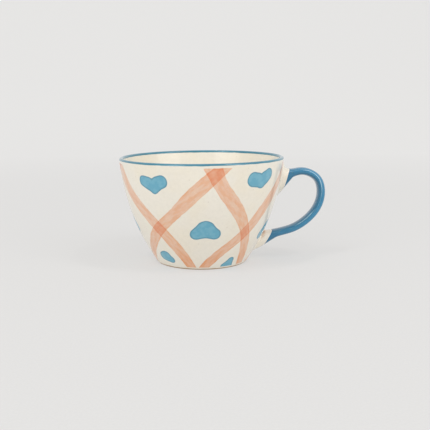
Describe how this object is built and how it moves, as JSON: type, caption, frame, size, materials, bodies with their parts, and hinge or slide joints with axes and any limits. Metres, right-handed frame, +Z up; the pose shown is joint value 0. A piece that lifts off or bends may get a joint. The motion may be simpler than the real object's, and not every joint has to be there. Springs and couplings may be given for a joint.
{
  "type": "mug",
  "caption": "Wide hand-painted stoneware mug with steep sides curving in to a small foot, a coloured lip and an ear-shaped strap handle.",
  "frame": {"origin": "on the plane the mug stands on, under the centre of its bounding box; the bowl's own axis is 15.6 mm from it towards -X, because the handle reaches further than the rim", "axes": "+Z up along the bowl's axis, +X from the bowl's axis through the middle of the handle, +Y square to both"},
  "size_m": [0.1458, 0.1146, 0.0733],
  "materials": {
    "cream_glaze": "clear gloss glaze over cream slip, painted",
    "bare_stoneware": "unglazed, matte",
    "blue_underglaze": "brushed blue underglaze under clear gloss glaze"
  },
  "bodies": {
    "root": {"bowl": "cream_glaze", "foot_ring": "bare_stoneware", "rim_band": "blue_underglaze", "handle": "blue_underglaze", "upper_handle_joint": "cream_glaze", "lower_handle_joint": "cream_glaze"}
  },
  "joints": []
}
